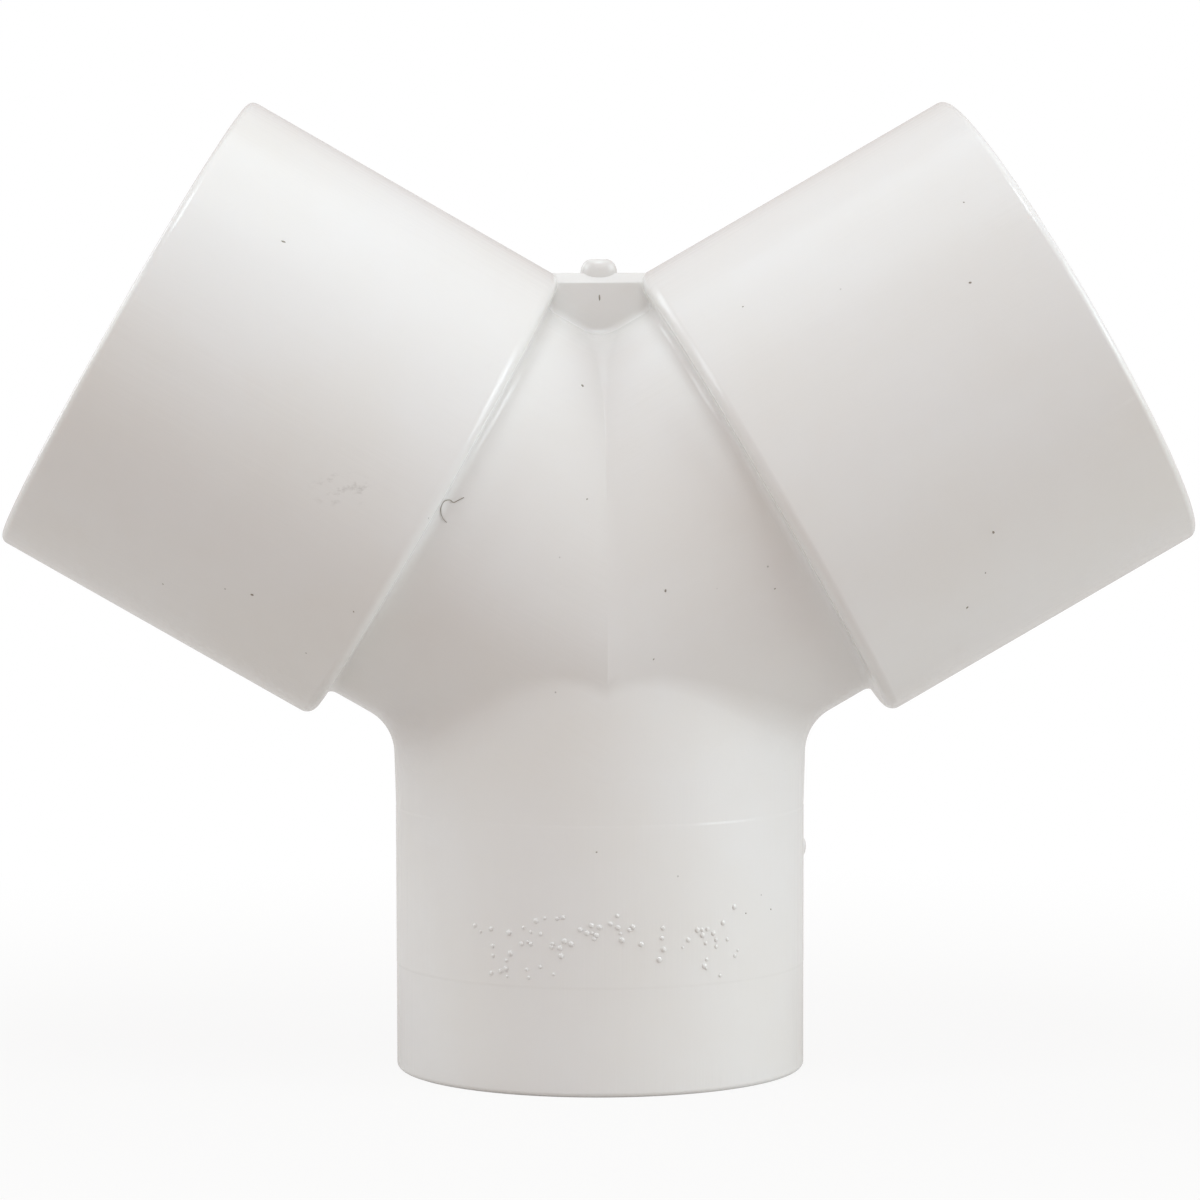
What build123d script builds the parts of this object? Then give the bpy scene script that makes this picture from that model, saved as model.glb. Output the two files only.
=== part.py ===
from build123d import *
import math
import os

os.makedirs("parts", exist_ok=True)

# Equal wye for 1 inch rigid PVC pipe, moulded in one piece: two sockets above and one spigot below,
# with all three axes in one plane and 120 degrees apart. The part stands on its spigot. The origin
# is the centre of the spigot end face, +Z runs up the spigot axis, and +X points to the right-hand
# socket. The plane Y = 0 is the parting plane of the mould, and X = 0 is the plane of symmetry.

# ---- Sizes ----

# The pipe system
PIPE_DIAMETER = 33.40        # outside diameter of the pipe, and of the spigot that stands in for it
SOCKET_CLEARANCE = 0.05      # socket land over the pipe, on diameter
LEAD_IN_GROWTH = 0.20        # socket mouth over the socket land, on diameter

# Layout of the three ways, measured from the point where the axes meet
BRANCH_RISE = 30.0           # angle of each branch above the horizontal
SPIGOT_REACH = 39.05         # to the spigot end
HUB_REACH = 44.35            # to the rim of a hub
SHOULDER_REACH = 15.35       # to the inner shoulder of a hub

# Walls
HUB_WALL = 3.775             # around the pipe
SHOULDER_STEP = 2.63         # radial step from the hub down to the branch tube
BRANCH_WALL = 3.67           # of the branch tube
SPIGOT_WALL = 3.40           # of the spigot
STOP_WALL = 3.60             # from the shoulder to the pipe stop, along the branch

# Spigot
NECK_STRAIGHT = 5.45         # drafted neck between the gluing land and the fillet above it
NECK_DRAFT = 0.40            # angle of that draft, on the radius
SPIGOT_END_CHAMFER = 0.60    # outer edge of the end face
SPIGOT_BORE_CHAMFER = 0.50   # inner edge of the end face

# Socket
LEAD_IN_SHARE = 0.32         # share of the socket depth that is lead-in
MOUTH_CHAMFER = 0.50         # inner edge of the rim

# Outer edges
NECK_FILLET = 4.00           # between the spigot neck and the branch tubes
VALLEY_FILLET = 3.00         # between the two branch tubes
VALLEY_SINK = 0.02           # depth by which the ends of that fillet run into the tubes
VALLEY_START = 2.40          # height above the axes where it starts; lower, the tubes meet almost flat
SHOULDER_ROUND = 1.00        # outer edge of the shoulder
RIM_CHAMFER = 0.45           # outer edge of the rim

# Web in the crotch, and the stub of the moulding gate on top of it
WEB_THICKNESS = 3.00
WEB_ROUND = 0.90             # top edges
WEB_FILLET = 0.60            # between the faces of the web and the branches
WEB_DROP = 0.05              # web top below the line where the shoulder rounds end
GATE_BASE_DIAMETER = 2.90    # where the stub leaves the web
GATE_TOP_DIAMETER = 2.30     # at its cut end
GATE_HEIGHT = 1.12           # stand above the web
GATE_CHAMFER = 0.40          # edge of the cut end

# ---- Radii and stations that follow from the sizes ----

spigot_radius = PIPE_DIAMETER / 2
spigot_bore_radius = spigot_radius - SPIGOT_WALL
land_radius = spigot_radius + SOCKET_CLEARANCE / 2
mouth_radius = land_radius + LEAD_IN_GROWTH / 2
hub_radius = land_radius + HUB_WALL
tube_radius = hub_radius - SHOULDER_STEP
tube_bore_radius = tube_radius - BRANCH_WALL
stop_reach = SHOULDER_REACH + STOP_WALL
land_end_reach = HUB_REACH - LEAD_IN_SHARE * (HUB_REACH - stop_reach)

rise = math.radians(BRANCH_RISE)
corner_depth = (tube_radius - spigot_radius * math.sin(rise)) / math.cos(rise)
fillet_depth = NECK_FILLET * math.tan(math.radians(90 - BRANCH_RISE) / 2)
land_height = SPIGOT_REACH - corner_depth - fillet_depth - NECK_STRAIGHT
neck_radius = spigot_radius + (SPIGOT_REACH - land_height) * math.tan(math.radians(NECK_DRAFT))
shoulder_top = (SHOULDER_REACH + SHOULDER_ROUND) * math.sin(rise) + hub_radius * math.cos(rise)
web_top = SPIGOT_REACH + shoulder_top - WEB_DROP
web_reach = SHOULDER_REACH * math.cos(rise) - tube_radius * math.sin(rise) + HUB_WALL / 2

ON_PLANE = 0.001             # distance within which an edge counts as lying on a plane

# The branch frame has its origin where the axes meet, and its own Z runs out along the branch.
junction = Vector(0, 0, SPIGOT_REACH)
branch_direction = Vector(math.cos(rise), 0, math.sin(rise))
branch_frame = Plane(origin=junction, x_dir=(0, 1, 0), z_dir=branch_direction)


def turned(outline, frame):
    """Turn a half outline, drawn as (radius, 0, height), about the Z axis of a frame."""
    return frame * revolve(outline, axis=Axis.Z, revolution_arc=360)


def half_outline(points):
    """Closed half outline through (radius, height) points."""
    return make_face(Polyline(*[(radius, 0, height) for radius, height in points], close=True))


def corner(shape, radius, height):
    """The corner of a half outline nearest to a given radius and height."""
    return shape.vertices().sort_by_distance((radius, 0, height))[0]


# ---- Outside of the right-hand branch ----

# The tube runs back until it has passed the plane of symmetry all round. The half body is cut there.
tube_tail = -(tube_radius + HUB_WALL) * math.tan(rise)
outline = half_outline([
    (0, tube_tail),
    (tube_radius, tube_tail),
    (tube_radius, SHOULDER_REACH),
    (hub_radius, SHOULDER_REACH),
    (hub_radius, HUB_REACH),
    (0, HUB_REACH),
])
outline = fillet(corner(outline, hub_radius, SHOULDER_REACH), SHOULDER_ROUND)
outline = chamfer(corner(outline, hub_radius, HUB_REACH), RIM_CHAMFER)
branch = turned(outline, branch_frame)

# ---- Outside of the spigot: the gluing land, and the drafted neck above it ----

outline = half_outline([
    (0, 0),
    (spigot_radius, 0),
    (spigot_radius, land_height),
    (neck_radius, SPIGOT_REACH),
    (0, SPIGOT_REACH),
])
outline = chamfer(corner(outline, spigot_radius, 0), SPIGOT_END_CHAMFER)
spigot = turned(outline, Plane.XY)

# ---- Right-hand half of the outside ----

extent = HUB_REACH + hub_radius + SPIGOT_REACH
right_side = Pos(extent, 0, 0) * Box(2 * extent, 2 * extent, 2 * extent)
half = (branch + spigot) & right_side


def is_saddle(edge):
    """True for the edge where the spigot meets the tube, away from the plane of symmetry."""
    return edge.geom_type == GeomType.BSPLINE and edge.center().X > ON_PLANE


half = fillet(half.edges().filter_by(is_saddle), NECK_FILLET)

# The web stands on the parting plane between the two shoulders, with rounded top edges.
web_foot = SPIGOT_REACH + tube_bore_radius
web_height = web_top - web_foot
section = Pos(0, web_foot + web_height / 2) * Rectangle(WEB_THICKNESS, web_height)
section = fillet(section.vertices().group_by(Axis.Y)[-1], WEB_ROUND)
half = half + extrude(Plane.YZ * section, amount=web_reach)


def is_web_root(edge):
    """True for the straight edges where the faces of the web meet the tube and the shoulder."""
    middle = edge.center()
    on_face = abs(abs(middle.Y) - WEB_THICKNESS / 2) < ON_PLANE
    below_round = middle.Z < web_top - WEB_ROUND - ON_PLANE
    return edge.geom_type == GeomType.LINE and on_face and below_round and middle.X > ON_PLANE


half = fillet(half.edges().filter_by(is_web_root), WEB_FILLET)

# The two halves only touch, along the plane of symmetry, so they are glued there.
body = half.fuse(mirror(half, about=Plane.YZ), glue=True)

# ---- Valley fillet between the tubes ----

# A ball of the fillet's size rolls down the valley and touches both tubes. Its centre follows an
# ellipse in the plane of symmetry. The fill is a wedge inside that ellipse, less the ball's path.
ball_track = tube_radius + VALLEY_FILLET - VALLEY_SINK
track_height = ball_track / math.cos(rise)
touch_side = VALLEY_FILLET * math.sin(rise)
touch_slope = touch_side / (track_height - VALLEY_FILLET * math.cos(rise))

track = Plane(origin=junction, x_dir=(0, 1, 0), z_dir=(1, 0, 0)) * Ellipse(ball_track, track_height)
path = track.edges()[0]
ball = Plane(origin=path.position_at(0), z_dir=path.tangent_at(0)) * Circle(VALLEY_FILLET)

wedge = make_face(Polyline(
    (-VALLEY_START * touch_slope, VALLEY_START),
    (VALLEY_START * touch_slope, VALLEY_START),
    (track_height * touch_slope, track_height),
    (-track_height * touch_slope, track_height),
    close=True,
))
wedge_frame = Plane(origin=junction, x_dir=(1, 0, 0), z_dir=(0, -1, 0))
wedge = extrude(wedge_frame * wedge, amount=ball_track, both=True)
inside_track = extrude(track, amount=touch_side, both=True)
body = body + ((wedge & inside_track) - sweep(ball, path=path))

# ---- Gate stub ----

gate_base = GATE_BASE_DIAMETER / 2
gate_top = GATE_TOP_DIAMETER / 2
stub = half_outline([
    (0, web_top - WEB_ROUND),
    (gate_base, web_top - WEB_ROUND),
    (gate_base, web_top),
    (gate_top, web_top + GATE_HEIGHT),
    (0, web_top + GATE_HEIGHT),
])
stub = chamfer(corner(stub, gate_top, web_top + GATE_HEIGHT), GATE_CHAMFER)
body = body + turned(stub, Plane.XY)

# ---- Bores ----

# Each socket has a straight land for the pipe, a lead-in cone and a stop, and its bore goes on to
# the plane of symmetry. The spigot's bore comes up to meet them.
socket = half_outline([
    (0, -tube_radius),
    (tube_bore_radius, -tube_radius),
    (tube_bore_radius, stop_reach),
    (land_radius, stop_reach),
    (land_radius, land_end_reach),
    (mouth_radius, HUB_REACH - MOUTH_CHAMFER),
    (mouth_radius + MOUTH_CHAMFER, HUB_REACH),
    (0, HUB_REACH),
])
socket = turned(socket, branch_frame) & right_side

spigot_bore = half_outline([
    (0, 0),
    (spigot_bore_radius + SPIGOT_BORE_CHAMFER, 0),
    (spigot_bore_radius, SPIGOT_BORE_CHAMFER),
    (spigot_bore_radius, SPIGOT_REACH),
    (0, SPIGOT_REACH),
])
body = body - socket - mirror(socket, about=Plane.YZ) - turned(spigot_bore, Plane.XY)

export_step(body, "parts/wye_body.step")
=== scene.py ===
"""Looks of an equal wye fitting for 1 inch pipe, moulded in one piece in white rigid PVC.

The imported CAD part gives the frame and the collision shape. The fitting is built again here as one
closed mesh, with the small rounds, the gate stub and the moulding marks of a real one, and with the
few specks and scuffs that it has picked up.

Lengths are in millimetres until a mesh is made. Shapes are drawn about the junction, the point where
the three axes meet: X points to the right, Z up, and the front of the fitting faces -Y.
"""

import logging
import math
from collections.abc import Callable
from dataclasses import dataclass
from enum import Enum

import bmesh
import bpy
import numpy as np
from mathutils import Matrix, Vector

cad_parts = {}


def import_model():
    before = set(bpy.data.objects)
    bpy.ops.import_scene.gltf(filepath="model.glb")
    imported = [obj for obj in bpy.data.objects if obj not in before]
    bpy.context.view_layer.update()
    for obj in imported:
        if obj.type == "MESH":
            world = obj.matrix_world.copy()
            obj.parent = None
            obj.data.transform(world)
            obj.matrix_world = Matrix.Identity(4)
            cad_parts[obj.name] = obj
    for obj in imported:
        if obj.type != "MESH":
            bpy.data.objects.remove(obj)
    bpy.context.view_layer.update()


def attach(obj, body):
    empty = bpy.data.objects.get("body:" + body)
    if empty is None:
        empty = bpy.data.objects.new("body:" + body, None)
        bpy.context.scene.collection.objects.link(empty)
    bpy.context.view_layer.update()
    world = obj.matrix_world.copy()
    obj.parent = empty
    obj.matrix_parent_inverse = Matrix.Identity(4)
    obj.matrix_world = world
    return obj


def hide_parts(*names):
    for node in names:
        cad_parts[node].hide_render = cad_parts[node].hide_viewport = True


LOG = logging.getLogger("wye_fitting")
BODY = "root"
CAD_NODE = "wye_body"
MM = 0.001

# How the meshes are made.
MERGE = 0.0005  # points closer than this are one
SHARP_DEGREES = 35  # edges that turn more than this stay sharp
HALVINGS = 50
SAME_DIRECTION = 1e-6  # radians
EASE_TURN = 1.35  # part of a quarter turn: the nearer to 1.57, the more its shares crowd
CROWDED = (0.22, 0.5)  # extra columns beside the parting line, as shares of a column
ON_MIDDLE = np.array([1, 0, 1])  # puts points on the plane Y = 0
DOME_SEGMENTS = 10
DOME_RINGS = 6
PATCH_COLUMNS = 32
PATCH_ROWS = 8

# Where the pips are on the spigot: heights in millimetres, and degrees to each side of the front.
PIPS_LOW = 9.3
PIPS_HIGH = 14.8
PIPS_HALF_ANGLE = 39.0

Points = np.ndarray
Pair = tuple[float, float]
Outline = list[Pair]
Place = tuple[float, float, float]
Colour = tuple[float, float, float, float]
Socket = bpy.types.NodeSocket
Value = Socket | Place | Colour
Tree = bpy.types.NodeTree


# ---- Small tools ----


def linear(hex_colour: str) -> Colour:
    """Turn an sRGB hex colour into the linear colour that a shader takes.

    Args:
        hex_colour: Six hex digits.

    Returns:
        Linear red, green, blue and an alpha of 1.
    """
    channels = [int(hex_colour[i : i + 2], 16) / 255 for i in (0, 2, 4)]
    shades = [c / 12.92 if c <= 0.04045 else ((c + 0.055) / 1.055) ** 2.4 for c in channels]
    return (*shades, 1.0)


def arc(centre: Pair, radius: float, start: float, end: float, steps: int) -> Outline:
    """Points along a circular arc, both ends included.

    Args:
        centre: Centre of the arc.
        radius: Radius of the arc.
        start: Angle of the first point, in degrees.
        end: Angle of the last point, in degrees.
        steps: Number of chords.

    Returns:
        The points, in order.
    """
    angles = np.radians(np.linspace(start, end, steps + 1))
    return [(centre[0] + radius * math.cos(a), centre[1] + radius * math.sin(a)) for a in angles]


def run(first: Pair, last: Pair, steps: int) -> Outline:
    """Points inside a straight run, with neither end included."""
    shares = np.linspace(0, 1, steps + 1)[1:-1]
    return [tuple(np.array(first) * (1 - k) + np.array(last) * k) for k in shares]


def between(first: Points, last: Points, steps: int) -> Points:
    """Rows of points strictly between two rows."""
    shares = np.linspace(0, 1, steps + 1)[1:-1, None, None]
    return first[None] * (1 - shares) + last[None] * shares


def eased(steps: int) -> Points:
    """Shares from 0 to 1 that crowd together towards 1."""
    return np.sin(np.linspace(0, EASE_TURN, steps + 1)) / math.sin(EASE_TURN)


def circle(angles: Points) -> Points:
    """Level unit vectors at angles from +X."""
    return np.stack([np.cos(angles), np.sin(angles), np.zeros_like(angles)], axis=-1)


def full_turn(steps: int) -> Points:
    """Even angles once round, the last one short of the first."""
    return np.linspace(0, 2 * math.pi, steps, endpoint=False)


def turned_toward(first: Points, last: Points, share: Points | float) -> Points:
    """Unit vectors part of the way from one direction to another, along the shorter turn.

    Args:
        first: Unit vectors at share 0, one in each row.
        last: Unit vectors at share 1.
        share: Share of the turn.

    Returns:
        The unit vectors in between.
    """
    angle = np.arccos(np.clip(np.sum(first * last, axis=-1), -1, 1))[..., None]
    safe = np.where(angle < SAME_DIRECTION, 1.0, angle)
    part = np.asarray(share)
    part = part[..., None] if part.ndim else part
    swung = (np.sin((1 - part) * safe) * first + np.sin(part * safe) * last) / np.sin(safe)
    return np.where(angle < SAME_DIRECTION, first, swung)


def root_of(function: Callable[[Points], Points], low: Points, high: Points) -> Points:
    """Where a function that rises from low to high crosses zero, found by halving.

    Args:
        function: Takes and returns an array.
        low: Places where the function is below zero.
        high: Places where it is above zero.

    Returns:
        The crossings.
    """
    low, high = low.copy(), high.copy()
    for _ in range(HALVINGS):
        middle = (low + high) / 2
        below = function(middle) < 0
        low = np.where(below, middle, low)
        high = np.where(below, high, middle)
    return (low + high) / 2


def link(name: str, data: bpy.types.ID) -> bpy.types.Object:
    """Make an object from its data and add it to the scene."""
    made = bpy.data.objects.new(name, data)
    bpy.context.scene.collection.objects.link(made)
    return made


def apply_modifiers(piece: bpy.types.Object) -> None:
    """Replace a piece's mesh with the one its modifiers make, and drop them.

    Args:
        piece: A mesh object.
    """
    made = made_mesh(piece)
    piece.modifiers.clear()
    piece.data = made


def made_mesh(piece: bpy.types.Object) -> bpy.types.Mesh:
    """The mesh that an object's data and modifiers come to."""
    graph = bpy.context.evaluated_depsgraph_get()
    return bpy.data.meshes.new_from_object(piece.evaluated_get(graph))


def fuse(piece: bpy.types.Object, extra: bpy.types.Object) -> None:
    """Fuse a second closed mesh to a piece, and remove the second object.

    Args:
        piece: The piece, which keeps its name.
        extra: The object that becomes part of it.
    """
    modifier = piece.modifiers.new("fuse", "BOOLEAN")
    modifier.operation = "UNION"
    modifier.solver = "EXACT"
    modifier.object = extra
    apply_modifiers(piece)
    bpy.data.objects.remove(extra)


def shade(piece: bpy.types.Object) -> None:
    """Shade a piece smoothly, keeping its sharp edges and letting the larger faces lead.

    Args:
        piece: The piece.
    """
    piece.data.shade_smooth()
    piece.data.set_sharp_from_angle(angle=math.radians(SHARP_DEGREES))
    weighted = piece.modifiers.new("weighted", "WEIGHTED_NORMAL")
    weighted.keep_sharp = True
    apply_modifiers(piece)


class MeshBuilder:
    """Gathers grids of points, given in millimetres about the junction, into one mesh."""

    def __init__(self, height: float) -> None:
        """Start an empty mesh.

        Args:
            height: Height of the junction above the floor, in millimetres.
        """
        self.lift = np.array([0.0, 0.0, height])
        self.vertices: list[Points] = []
        self.faces: list[tuple[int, ...]] = []
        self.count = 0

    def grid(self, points: Points, closed: bool = False) -> None:
        """Add a grid of quads.

        Args:
            points: Array of rows, columns and three coordinates.
            closed: True if the last column joins the first.
        """
        rows, columns = points.shape[:2]
        index = np.arange(rows * columns).reshape(rows, columns) + self.count
        self.vertices.append(points.reshape(-1, 3))
        self.count += rows * columns
        across = np.concatenate([index, index[:, :1]], axis=1) if closed else index
        quads = np.stack([across[:-1, :-1], across[1:, :-1], across[1:, 1:], across[:-1, 1:]], axis=-1)
        self.faces.extend(map(tuple, quads.reshape(-1, 4)))

    def quartered(self) -> None:
        """Repeat what has been added in the other three quarters about the planes X = 0 and Y = 0."""
        points = np.concatenate(self.vertices)
        faces = list(self.faces)
        for across, side in ((-1, 1), (1, -1), (-1, -1)):
            self.vertices.append(points * np.array([across, side, 1]))
            moved = [tuple(int(i) + self.count for i in face) for face in faces]
            self.faces.extend(face if across == side else face[::-1] for face in moved)
            self.count += len(points)

    def finish(self, name: str) -> bpy.types.Object:
        """Make the object, closed and with its faces outwards.

        Args:
            name: Name of the piece.

        Returns:
            The object, at the origin, with its place in its mesh.
        """
        mesh = bpy.data.meshes.new(name)
        points = (np.concatenate(self.vertices) + self.lift) * MM
        mesh.from_pydata(points.tolist(), [], [[int(i) for i in face] for face in self.faces])
        sheet = bmesh.new()
        sheet.from_mesh(mesh)
        bmesh.ops.remove_doubles(sheet, verts=sheet.verts, dist=MERGE * MM)
        bmesh.ops.dissolve_degenerate(sheet, edges=sheet.edges, dist=MERGE * MM)
        bmesh.ops.recalc_face_normals(sheet, faces=sheet.faces)
        sheet.to_mesh(mesh)
        sheet.free()
        mesh.shade_smooth()
        return link(name, mesh)


# ---- The fitting ----


@dataclass(frozen=True)
class Layout:
    """Where the three ways run, and their radii, as the CAD part has them."""

    rise: float = 30.0
    spigot_reach: float = 39.05
    hub_reach: float = 44.35
    shoulder_reach: float = 15.35
    stop_reach: float = 18.95
    land_end_reach: float = 36.222
    hub_radius: float = 20.50
    tube_radius: float = 17.87
    tube_bore: float = 14.20
    mouth_radius: float = 16.825
    land_radius: float = 16.725
    spigot_radius: float = 16.70
    spigot_bore: float = 13.30
    neck_radius: float = 16.81

    @property
    def slope(self) -> float:
        """The branch angle above the horizontal, in radians."""
        return math.radians(self.rise)

    @property
    def along(self) -> Points:
        """Direction of the right-hand branch."""
        return np.array([math.cos(self.slope), 0.0, math.sin(self.slope)])

    @property
    def over(self) -> Points:
        """Direction square to the right-hand branch, up and to the left."""
        return np.array([-math.sin(self.slope), 0.0, math.cos(self.slope)])

    def round_branch(self, angle: Points) -> Points:
        """Unit vectors square to the branch, at angles from its top through +Y to its bottom."""
        side = np.array([0.0, 1.0, 0.0])
        return np.cos(angle)[..., None] * self.over + np.sin(angle)[..., None] * side


@dataclass(frozen=True)
class Rounds:
    """Radii of the moulding's edges and inner corners.

    The valley fillet keeps its radius at the top of the crotch and fades to a line down the front. The
    higher the power of its fade, the sooner it is gone. Below it the tubes meet in a softened ridge.
    """

    neck: float = 4.0
    valley: float = 3.0
    valley_fade: float = 8.0
    ridge: float = 0.2
    shoulder: float = 1.0
    shoulder_root: float = 0.8
    rim: float = 0.62
    mouth: float = 0.5
    stop: float = 0.35
    spigot_end: float = 0.4
    spigot_bore: float = 0.5


@dataclass(frozen=True)
class Web:
    """The plate in the crotch, and the gate stub on top of it.

    Its root fillet turns until the sine of its angle is root_turn, and runs on straight from there, so
    that it dives under the tubes at a grazing angle. The web is sunk in them, so that the solids overlap.
    """

    half_thickness: float = 1.5
    top: float = 25.879
    bevel_depth: float = 1.0
    bevel_drop: float = 0.75
    bevel_round: float = 0.12
    root: float = 0.45
    root_turn: float = 0.994
    sink: float = 0.5
    search_reach: float = 6.0
    search_side: float = 8.0
    search_slack: float = 0.01
    stub_base: float = 1.49
    stub_flat: float = 0.62
    stub_height: float = 1.12
    stub_depth_share: float = 0.66


@dataclass(frozen=True)
class MouldMarks:
    """Traces of the mould: two faint rings round the spigot, and a nick on its parting line.

    Each ring is a small step between the land of the spigot and the slightly narrower wall beyond it.
    """

    ring_step: float = 0.014
    ring_half_height: float = 0.05
    high_ring: float = 21.5
    low_ring: float = 8.7
    nick_height: float = 17.9
    nick_length: float = 2.4
    nick_width: float = 1.1
    nick_rise: float = 0.25


@dataclass(frozen=True)
class Density:
    """How many rows and columns of faces the body has."""

    upper_columns: int = 72
    lower_columns: int = 52
    tube_rows: int = 14
    saddle_rows: int = 12
    valley_rows: int = 8
    neck_rows: int = 8
    web_rows: int = 60
    web_columns: int = 48
    small_columns: int = 48
    nick_columns: int = 32
    nick_rows: int = 16


@dataclass(frozen=True)
class WyeFitting:
    """The moulded body, built as one closed mesh from the right rear quarter."""

    layout: Layout = Layout()
    rounds: Rounds = Rounds()
    web: Web = Web()
    marks: MouldMarks = MouldMarks()
    density: Density = Density()

    def build(self) -> bpy.types.Object:
        """Make the body, fuse the web and the gate stub to it, and set its shading.

        Returns:
            The finished object.
        """
        piece = self.shell()
        for extra in (self.crotch_web(), self.gate_stub(), self.parting_nick()):
            fuse(piece, extra)
        shade(piece)
        return piece

    # The saddle: a ball rolls round the neck and touches the tube and the spigot.

    def crossing(self, turn: Points, upright: float, slanted: float) -> Points:
        """Where a cylinder about the spigot's axis meets one about the right-hand branch's axis.

        Args:
            turn: Angles round the spigot, from +X to +Y.
            upright: Radius about the spigot.
            slanted: Radius about the branch.

        Returns:
            The points on the branch's underside.
        """
        slope = self.layout.slope
        across, side = upright * np.cos(turn), upright * np.sin(turn)
        depth = np.sqrt(slanted**2 - side**2)
        height = (across * math.sin(slope) - depth) / math.cos(slope)
        return np.stack([across, side, height], axis=-1)

    def saddle(self, turn: Points, share: float) -> Points:
        """Points on the neck fillet.

        Args:
            turn: Angles of the ball's centre round the spigot.
            share: 0 on the spigot, 1 on the tube.

        Returns:
            The points.
        """
        lay, ball = self.layout, self.rounds.neck
        centre = self.crossing(turn, lay.neck_radius + ball, lay.tube_radius + ball)
        to_tube = -(centre - (centre @ lay.along)[..., None] * lay.along)
        to_tube = to_tube / np.linalg.norm(to_tube, axis=-1, keepdims=True)
        return centre + ball * turned_toward(-circle(turn), to_tube, share)

    def saddle_row(self, share: float) -> Points:
        """One row of the neck fillet, from the plane of symmetry to the outside of the bend.

        Args:
            share: 0 on the spigot, 1 on the tube.

        Returns:
            The row's points.
        """
        margin = 0.2
        last = root_of(
            lambda turn: -self.saddle(turn, share)[..., 0],
            np.array([margin]),
            np.array([math.pi / 2 + margin]),
        )
        return self.saddle(self.fan * last, share)

    @property
    def fan(self) -> Points:
        """Shares of the quarter turn for the lower columns, from the plane of symmetry outwards.

        Two more columns crowd beside the last one, which keeps the parting line crisp.
        """
        even = np.linspace(1, 0, self.density.lower_columns + 1)
        return np.insert(even, -1, even[-2] * np.array(CROWDED[::-1]))

    # Columns round the branch. The upper ones end on the plane of symmetry, and the lower ones run on
    # over the saddle and down the spigot.

    def column_angles(self, meeting: Points) -> tuple[Points, Points]:
        """Angles round the branch of the upper and lower columns.

        Args:
            meeting: Where the lower columns leave the branch for the spigot.

        Returns:
            The upper angles, closer together beside the parting line on top, and the lower angles.
        """
        lower = np.arctan2(meeting[:, 1], meeting @ self.layout.over)
        lower[-1] = math.pi
        upper = np.linspace(0, lower[0], self.density.upper_columns + 1)
        return np.insert(upper, 1, upper[1] * np.array(CROWDED)), lower

    def valley_row(self, angles: Points, share: float) -> Points:
        """One row of the fillet between the tubes, or of the ridge where they meet below it.

        Args:
            angles: Angles round the branch.
            share: 0 on the tube, 1 on the plane of symmetry.

        Returns:
            The points.
        """
        lay, rounds = self.layout, self.rounds
        fade = np.clip((angles[-1] - angles) / (angles[-1] - math.pi / 2), 0, 1)
        open_side = np.clip(np.cos(angles), 0, 1) ** rounds.valley_fade
        ball = np.where(angles < math.pi / 2, rounds.valley * open_side, -rounds.ridge * np.sqrt(fade))
        centre_radius = lay.tube_radius + ball
        outward = lay.round_branch(angles)
        reach = centre_radius * math.tan(lay.slope) * np.cos(angles)
        centre = reach[:, None] * lay.along + centre_radius[:, None] * outward
        middle = outward * np.array([0.0, 1.0, 1.0])
        middle = middle / np.linalg.norm(middle, axis=-1, keepdims=True)
        points = centre - ball[:, None] * turned_toward(outward, middle, share)
        if share == 1:
            points[:, 0] = 0
        return points

    def outside_outline(self) -> Outline:
        """The outside of a branch, from the foot of the shoulder to the rim.

        Returns:
            Reach from the junction and radius, point by point.
        """
        lay, rounds = self.layout, self.rounds
        root, corner, rim = rounds.shoulder_root, rounds.shoulder, rounds.rim
        foot = (lay.shoulder_reach - root, lay.tube_radius + root)
        shoulder = (lay.shoulder_reach + corner, lay.hub_radius - corner)
        edge = (lay.hub_reach - rim, lay.hub_radius - rim)
        return [
            *arc(foot, root, -90, 0, 6),
            *run((lay.shoulder_reach, foot[1]), (lay.shoulder_reach, shoulder[1]), 3),
            *arc(shoulder, corner, 180, 90, 9),
            *run((shoulder[0], lay.hub_radius), (edge[0], lay.hub_radius), 10),
            *arc(edge, rim, 90, 0, 6),
        ]

    def inside_outline(self) -> Outline:
        """The inside of a socket, from the rim to the mouth of the bore.

        Returns:
            Reach from the junction and radius, point by point.
        """
        lay, rounds = self.layout, self.rounds
        mouth = (lay.hub_reach - rounds.mouth, lay.mouth_radius + rounds.mouth)
        corner = (lay.stop_reach + rounds.stop, lay.land_radius - rounds.stop)
        land_end = (lay.land_end_reach, lay.land_radius)
        lip = (lay.stop_reach, lay.tube_bore + rounds.stop)
        return [
            *arc(mouth, rounds.mouth, 0, -90, 6),
            *run((mouth[0], lay.mouth_radius), land_end, 4),
            land_end,
            *run(land_end, (corner[0], lay.land_radius), 6),
            *arc(corner, rounds.stop, 90, 180, 4),
            *run((lay.stop_reach, corner[1]), lip, 3),
            lip,
            (lay.stop_reach, lay.tube_bore),
        ]

    def revolved(self, outline: Outline, angles: Points) -> Points:
        """Rows of points for an outline turned about the branch."""
        outward = self.layout.round_branch(angles)
        return np.array([reach * self.layout.along + radius * outward for reach, radius in outline])

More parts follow.
